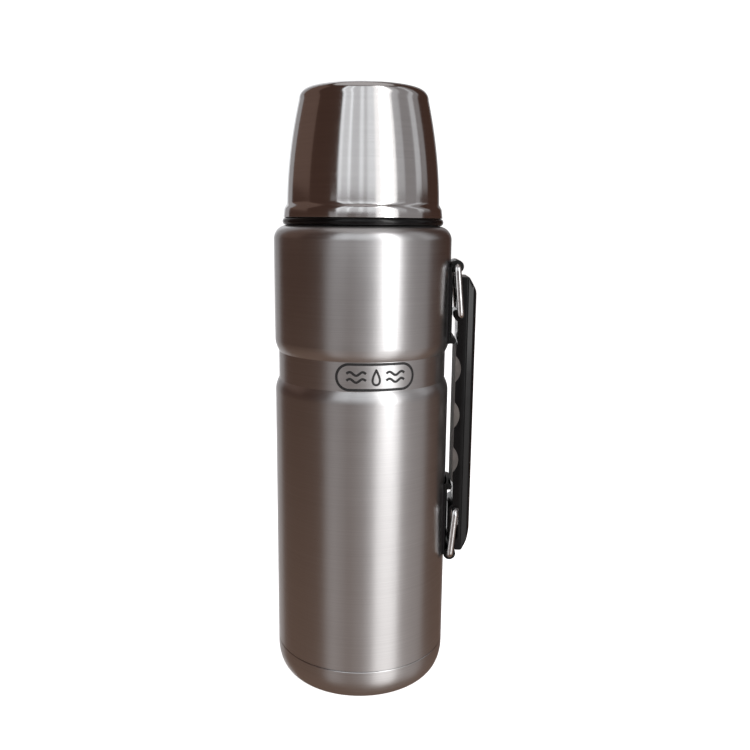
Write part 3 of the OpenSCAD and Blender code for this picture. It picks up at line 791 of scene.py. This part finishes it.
def make_handle_frame():
    """The inner half: lugs for both bars, scallops for the grip and recesses for the screws."""
    meet = math.degrees(math.acos((BAR_X - EAR_X) / LUG_R))
    slot_foot = LOWER_BAR - SLOT_L
    outline = [(SEAM_X, HANDLE_FOOT), (SEAM_X, HANDLE_TOP), (EAR_X, HANDLE_TOP)]
    outline += arc(BAR_X, UPPER_BAR, LUG_R, 180 - meet, 180 + meet, 16)
    outline += [(EAR_X, GRIP_TOP), (EDGE_X, GRIP_TOP)]
    for i in (1, 0, -1):
        outline += scallop_arc(GRIP_MID + i * SCALLOP_STEP)
    outline += [(EDGE_X, GRIP_FOOT), (EAR_X, GRIP_FOOT)]
    outline += arc(BAR_X, LOWER_BAR, LUG_R, 180 - meet, 180, 10)
    outline += arc(BAR_X, slot_foot, LUG_R, 180, 180 + meet, 10)
    outline += [(EAR_X, HANDLE_FOOT)]
    bm = bmesh.new()
    across(bm, outline, HALF_W, 0.35 * MM)
    hole = bmesh.new()
    across(hole, arc(BAR_X, UPPER_BAR, WIRE_R + 0.05 * MM, 0, 352.5, 47), HALF_W + 2 * MM, 0.1 * MM)
    slot = bmesh.new()
    gap = WIRE_R + 0.25 * MM
    across(slot, arc(BAR_X, LOWER_BAR, gap, 0, 180, 24) + arc(BAR_X, slot_foot, gap, 180, 360, 24),
           HALF_W + 2 * MM, 0.1 * MM)
    barrel = bmesh.new()
    across(barrel, arc(PIVOT_X, LOWER_PIVOT, LUG_R + 0.6 * MM, 0, 352.5, 47), HALF_W + 2 * MM, 0.1 * MM)
    cutters = [hole, slot, barrel]
    for z in SCREW_ZS:
        recess = bmesh.new()
        bmesh.ops.create_cone(recess, cap_ends=True, segments=48, radius1=SCREW_HEAD_R + 0.05 * MM,
                              radius2=SCREW_HEAD_R + 0.05 * MM, depth=2 * SCREW_HEAD_H,
                              matrix=Matrix.Translation((EAR_X, 0, z)) @ Matrix.Rotation(math.pi / 2, 4, "Y"))
        cutters.append(recess)
    finished(carved(bm, cutters), "handle_frame", BLACK_GLOSS, "handle", ["handle_core"])


def make_handle_grip():
    """Soft pad with a crowned face and three lobes that fill the scallops."""
    outline = [(CROWN_X, GRIP_FOOT + (GRIP_TOP - GRIP_FOOT) * i / 30) for i in range(31)]
    outline += [(EDGE_X, GRIP_TOP)]
    for i in (1, 0, -1):
        outline += scallop_arc(GRIP_MID + i * SCALLOP_STEP)
    outline += [(EDGE_X, GRIP_FOOT)]
    crown_r = 70 * MM

    def crowned(x, y, z):
        return max(x, CROWN_X + crown_r - math.sqrt(crown_r ** 2 - y ** 2)), y, z

    bm = bmesh.new()
    across(bm, outline, HALF_W, 0.12 * MM, crowned, 14)
    finished(bm, "grip_pad", GRIP_RUBBER, "handle", ["handle_grip"])


def make_screws():
    """Cross-head screws down the inside of the handle."""
    bm = bmesh.new()
    for z in SCREW_ZS:
        place = Matrix.Translation((EAR_X, 0, z)) @ Matrix.Rotation(math.pi / 2, 4, "Y")
        head = bmesh.new()
        revolve(head, [(0, SCREW_SUNK), (SCREW_HEAD_R - 0.5 * MM, SCREW_SUNK),
                       (SCREW_HEAD_R - 0.1 * MM, 0.25 * MM), (SCREW_HEAD_R, 0.5 * MM),
                       (SCREW_HEAD_R, SCREW_HEAD_H), (SCREW_SHANK_R, SCREW_HEAD_H),
                       (SCREW_SHANK_R, SCREW_L), (0, SCREW_L)], 48)
        cutters = []
        for turn in (0, math.pi / 2):
            cutter = bmesh.new()
            bmesh.ops.create_cube(cutter, size=1)
            bmesh.ops.scale(cutter, vec=(2.6 * MM, 0.5 * MM, 1.4 * MM), verts=cutter.verts)
            bmesh.ops.rotate(cutter, matrix=Matrix.Rotation(turn, 3, "Z"), verts=cutter.verts)
            cutters.append(cutter)
        head = carved(head, cutters)
        bmesh.ops.transform(head, matrix=place, verts=head.verts)
        part = bpy.data.meshes.new("head")
        head.to_mesh(part)
        head.free()
        bm.from_mesh(part)
        bpy.data.meshes.remove(part)
    finished(bm, "screw_heads", WIRE_STEEL, "handle", ["handle_screws"])


def make_bail(name, node, body, pivot_z, bar_z):
    """A closed wire loop with two bars along Y and bent corners."""
    bend, half = 2.2 * MM, BARREL_HALF + 2.2 * MM
    start, end = Vector((PIVOT_X, 0, pivot_z)), Vector((BAR_X, 0, bar_z))
    along = (end - start).normalized()
    flat = []
    for cy, ct, first in ((half - bend, BAIL_L - bend, 0), (-half + bend, BAIL_L - bend, 90),
                          (-half + bend, bend, 180), (half - bend, bend, 270)):
        flat += [(cy + bend * math.cos(math.radians(first + 7.5 * i)),
                  ct + bend * math.sin(math.radians(first + 7.5 * i))) for i in range(13)]
    path = [start + along * t + Vector((0, y, 0)) for y, t in flat]
    count, sides = len(path), 28
    normal = along.cross(Vector((0, 1, 0)))
    bm = bmesh.new()
    rings = []
    for i, point in enumerate(path):
        tangent = (path[(i + 1) % count] - path[i - 1]).normalized()
        sideways = tangent.cross(normal).normalized()
        rings.append([bm.verts.new(point + (normal * math.cos(a) + sideways * math.sin(a)) * WIRE_R)
                      for a in (2 * math.pi * k / sides for k in range(sides))])
    for i, ring in enumerate(rings):
        after = rings[(i + 1) % count]
        for k in range(sides):
            m = (k + 1) % sides
            bm.faces.new((ring[k], ring[m], after[m], after[k]))
    finished(bm, name, WIRE_STEEL, body, [node])


def make_bracket(name, node, pivot_z, up):
    """A curved plate on the body with a barrel at one end and a lip at the other."""
    far_z = pivot_z - up * BRACKET_LEN
    low, high = min(far_z, pivot_z), max(far_z, pivot_z)
    lip_h = 3.2 * MM
    lip_z = far_z + up * lip_h / 2
    lip_x = EAR_X - 0.7 * MM
    half = HALF_W + 1 * MM
    bm = bmesh.new()
    across(bm, arc(PIVOT_X, pivot_z, LUG_R, 0, 352.5, 47), BARREL_HALF, 0.4 * MM)
    inner_x = math.sqrt(BODY_R ** 2 - BARREL_HALF ** 2)
    across(bm, [(inner_x, lip_z - lip_h / 2)] + arc(lip_x - lip_h / 2, lip_z, lip_h / 2, -90, 90, 16)
           + [(inner_x, lip_z + lip_h / 2)], BARREL_HALF, 0.4 * MM)
    edge, side = 0.5 * MM, 16
    reach = math.asin(half / (BODY_R + BRACKET_T))

    def place(a, z, radius):
        return radius * math.cos(a), radius * math.sin(a), z

    border = [(-reach, low), (reach, low), (reach, high), (-reach, high)]
    outline = []
    for (a0, z0), (a1, z1) in zip(border, border[1:] + border[:1]):
        outline += [(a0 + (a1 - a0) * t / side, z0 + (z1 - z0) * t / side) for t in range(side)]
    middle_z = (low + high) / 2
    layers = []
    for radius, shrink in ((BODY_R, 0), (BODY_R + BRACKET_T - edge, 0),
                           (BODY_R + BRACKET_T - 0.15 * MM, 0.15 * MM), (BODY_R + BRACKET_T, edge)):
        layer = []
        for a, z in outline:
            a -= math.copysign(shrink / BODY_R, a) if abs(abs(a) - reach) < 1e-9 else 0
            z -= math.copysign(shrink, z - middle_z) if min(abs(z - low), abs(z - high)) < 1e-9 else 0
            layer.append(bm.verts.new(place(a, z, radius)))
        layers.append(layer)
    for inner, outer in zip(layers, layers[1:]):
        for k in range(len(inner)):
            m = (k + 1) % len(inner)
            bm.faces.new((inner[k], inner[m], outer[m], outer[k]))
    for layer in (layers[-1], layers[0]):
        for k in range(side):
            bm.faces.new((layer[k], layer[k + 1], layer[3 * side - k - 1], layer[3 * side - k]))
    finished(bm, name, BLACK_MATT, "root", [node])


# ---------------------------------------------------------------------------------------------
# Printed mark in the band: a rounded outline round a drop between wavy lines
# ---------------------------------------------------------------------------------------------


def make_mark():
    """The printed mark, wrapped round the floor of the band."""
    radius, thick, stroke = BODY_R - BAND_DEPTH, 0.03 * MM, 1.3 * MM
    centre = math.radians(11)
    half_w, half_h = 19.5 * MM, 6.3 * MM

    def place(s, t, r):
        a = centre + s / radius
        return r * math.sin(a), -r * math.cos(a), BAND_Z + t

    def strip(bm, points, width, closed):
        count = len(points)
        rows = []
        for i, (s, t) in enumerate(points):
            before = points[i - 1] if closed or i else points[0]
            after = points[(i + 1) % count] if closed or i < count - 1 else points[-1]
            d = Vector((after[0] - before[0], after[1] - before[1])).normalized()
            rows.append([bm.verts.new(place(s - d.y * w, t + d.x * w, r))
                         for w, r in ((-width / 2, radius - thick), (-width / 2, radius + thick),
                                      (width / 2, radius + thick), (width / 2, radius - thick))])
        pairs = list(zip(rows, rows[1:])) + ([(rows[-1], rows[0])] if closed else [])
        for a, b in pairs:
            for k in range(4):
                m = (k + 1) % 4
                bm.faces.new((a[k], a[m], b[m], b[k]))
        if not closed:
            bm.faces.new(rows[0])
            bm.faces.new(rows[-1])

    bm = bmesh.new()
    straight = half_w - half_h
    frame_line = [(-straight + 2 * straight * i / 40, half_h) for i in range(40)]
    frame_line += [(straight + half_h * math.sin(math.radians(a)), half_h * math.cos(math.radians(a)))
                   for a in range(0, 180, 5)]
    frame_line += [(straight - 2 * straight * i / 40, -half_h) for i in range(40)]
    frame_line += [(-straight - half_h * math.sin(math.radians(a)), -half_h * math.cos(math.radians(a)))
                   for a in range(0, 180, 5)]
    strip(bm, frame_line, stroke, True)
    for side in (-1, 1):
        for row in (-1.7, 1.7):
            wave = [(side * (5 + 9.5 * i / 40) * MM, (row + 0.85 * math.sin(2 * math.pi * 1.5 * i / 40)) * MM)
                    for i in range(41)]
            strip(bm, wave, 1.2 * MM, False)
    drop = []
    for i in range(48):
        a = 2 * math.pi * i / 48
        drop.append((2.5 * MM * math.sin(a) * math.sin(a / 2) ** 1.4, 3.7 * MM * math.cos(a) - 0.1 * MM))
    strip(bm, drop, 1.1 * MM, True)
    finished(bm, "printed_mark", INK, "root")


make_outer_shell()
make_base_cap()
make_cup_shell()
make_neck_collar()
make_liner()
make_cup_inside()
make_stopper()
make_handle_cover()
make_handle_frame()
make_handle_grip()
make_screws()
make_bail("bail_wire_upper", "upper_bail", "upper_bail", UPPER_PIVOT, UPPER_BAR)
make_bail("bail_wire_lower", "lower_bail", "lower_bail", LOWER_PIVOT, LOWER_BAR)
make_bracket("bracket_upper", "upper_bracket", UPPER_PIVOT, 1)
make_bracket("bracket_lower", "lower_bracket", LOWER_PIVOT, -1)
make_mark()

# ---------------------------------------------------------------------------------------------
# Stage and light
# ---------------------------------------------------------------------------------------------


def make_floor():
    """A plain white disc under the flask."""
    bm = bmesh.new()
    bmesh.ops.create_circle(bm, cap_ends=True, radius=6, segments=96)
    mesh = bpy.data.meshes.new("floor")
    bm.to_mesh(mesh)
    bm.free()
    n = Nodes("floor_paper")
    n.set(Base_Color=(0.9, 0.9, 0.9, 1), Roughness=0.9, Emission_Color=(1, 1, 1, 1),
          Emission_Strength=1.0)
    mesh.materials.append(n.material)
    floor = bpy.data.objects.new("floor", mesh)
    bpy.context.scene.collection.objects.link(floor)
    floor.location.z = -0.02 * MM
    floor.visible_glossy = False
    floor.visible_shadow = False


def make_backdrop():
    """A white dome that only the camera sees."""
    bm = bmesh.new()
    bmesh.ops.create_uvsphere(bm, u_segments=64, v_segments=32, radius=8)
    bmesh.ops.reverse_faces(bm, faces=bm.faces)
    mesh = bpy.data.meshes.new("backdrop")
    bm.to_mesh(mesh)
    bm.free()
    n = Nodes("backdrop_white")
    n.set(Base_Color=(0, 0, 0, 1), Specular_IOR_Level=0, Emission_Color=(1, 1, 1, 1), Emission_Strength=1.1)
    mesh.materials.append(n.material)
    dome = bpy.data.objects.new("backdrop", mesh)
    bpy.context.scene.collection.objects.link(dome)
    dome.visible_glossy = False
    dome.visible_diffuse = False
    dome.visible_transmission = False
    dome.visible_shadow = False


def make_world():
    """A dim warm room, a little lighter towards the ground."""
    world = bpy.data.worlds.new("room")
    bpy.context.scene.world = world
    world.use_nodes = True
    tree = world.node_tree
    tree.nodes.clear()
    add, link = tree.nodes.new, tree.links.new
    place = add("ShaderNodeTexCoord")
    split = add("ShaderNodeSeparateXYZ")
    link(place.outputs["Generated"], split.inputs[0])
    room = add("ShaderNodeValToRGB")
    room.color_ramp.elements[0].position = 0.22
    room.color_ramp.elements[0].color = (0.165, 0.108, 0.082, 1)
    room.color_ramp.elements[1].position = 0.5
    room.color_ramp.elements[1].color = (0.058, 0.031, 0.023, 1)
    height = add("ShaderNodeMapRange")
    height.inputs["From Min"].default_value = -1
    link(split.outputs["Z"], height.inputs["Value"])
    link(height.outputs["Result"], room.inputs["Fac"])
    dim = add("ShaderNodeBackground")
    link(room.outputs["Color"], dim.inputs["Color"])
    out = add("ShaderNodeOutputWorld")
    link(dim.outputs[0], out.inputs["Surface"])


def make_card(name, start, end, distance, low, high, radiance, colour):
    """An upright soft light facing the flask between two azimuths, from -Y towards +X."""
    middle, half = math.radians((start + end) / 2), math.radians((end - start) / 2)
    data = bpy.data.lights.new(name, "AREA")
    data.shape = "RECTANGLE"
    data.size, data.size_y = 2 * distance * math.tan(half), high - low
    data.energy = radiance * math.pi * data.size * data.size_y
    data.color = colour
    light = bpy.data.objects.new(name, data)
    bpy.context.scene.collection.objects.link(light)
    away = Vector((math.sin(middle), -math.cos(middle), 0))
    light.location = away * distance + Vector((0, 0, (low + high) / 2))
    light.rotation_euler = away.to_track_quat("Z", "Y").to_euler()
    light.visible_camera = False


def make_ceiling(height, width, radiance):
    """A wide soft light overhead."""
    data = bpy.data.lights.new("ceiling", "AREA")
    data.shape = "DISK"
    data.size = width
    data.energy = radiance * math.pi * math.pi * width ** 2 / 4
    light = bpy.data.objects.new("ceiling", data)
    bpy.context.scene.collection.objects.link(light)
    light.location.z = height
    light.visible_camera = False


make_floor()
make_backdrop()
make_world()

# The cards stand from LOW to HIGH, or from one of them to SPLIT. Each row names a card and gives its first
# and last azimuth in degrees, then its distance where that differs, and its radiance, where 1 shows white.
# Several cards side by side give the steel its streaks.
LOW, HIGH, SPLIT = -1.5, 2.4, 0.4
NEAR, MIDDLE, FAR = 1.38, 1.4, 1.5
WHITE, COOL, WARM = (1, 1, 1), (0.93, 0.97, 1.0), (1, 0.7, 0.58)
FRONT_LOW = (("left_low", -46, -34, 1.55, 0.22), ("front_low_left", -36, -20, FAR, 0.2),
             ("front_low_middle", -20, -8, FAR, 0.1), ("front_low_right", -8, 8, FAR, 0.16),
             ("approach_low", 8, 20, 1.48, 0.34), ("right_low", 52, 94, FAR, 0.22))
FRONT_HIGH = (("edge_high", -36, -31, 1.05), ("pane_1_high", -31, -21, 0.7), ("bar_1_high", -21, -17, 1.1),
              ("pane_2_high", -17, -4, 0.6), ("bar_2_high", -4, 2, 0.95), ("pane_3_high", 2, 8, 0.6),
              ("approach_high", 8, 20, 0.85), ("right_near_high", 52, 66, 0.42),
              ("right_middle_high", 66, 87, 0.22), ("right_strip_high", 87, 99, 0.5),
              ("right_far_high", 100, 113, 0.2))
BACK = (("back_right", 156, 176, 0.2), ("back", 176, 208, 0.8), ("back_left", 208, 230, 0.3))
for name, first, last, distance, radiance in FRONT_LOW:
    make_card(name, first, last, distance, LOW, SPLIT, radiance, COOL)
for name, first, last, radiance in FRONT_HIGH:
    make_card(name, first, last, FAR, SPLIT, HIGH, radiance, COOL)
for name, first, last, radiance in BACK:
    make_card(name, first, last, FAR, LOW, HIGH, radiance, COOL)
make_card("key", 20, 52, MIDDLE, LOW, HIGH, 1.15, WHITE)
make_card("key_core", 30, 45, NEAR, -0.05, HIGH, 2.7, WHITE)
make_card("left_wall", -130, -84, FAR, SPLIT, HIGH, 0.062, WARM)
make_ceiling(2.6, 2.5, 0.4)

scene = bpy.context.scene
scene.view_settings.view_transform = "Standard"
scene.view_settings.look = "None"
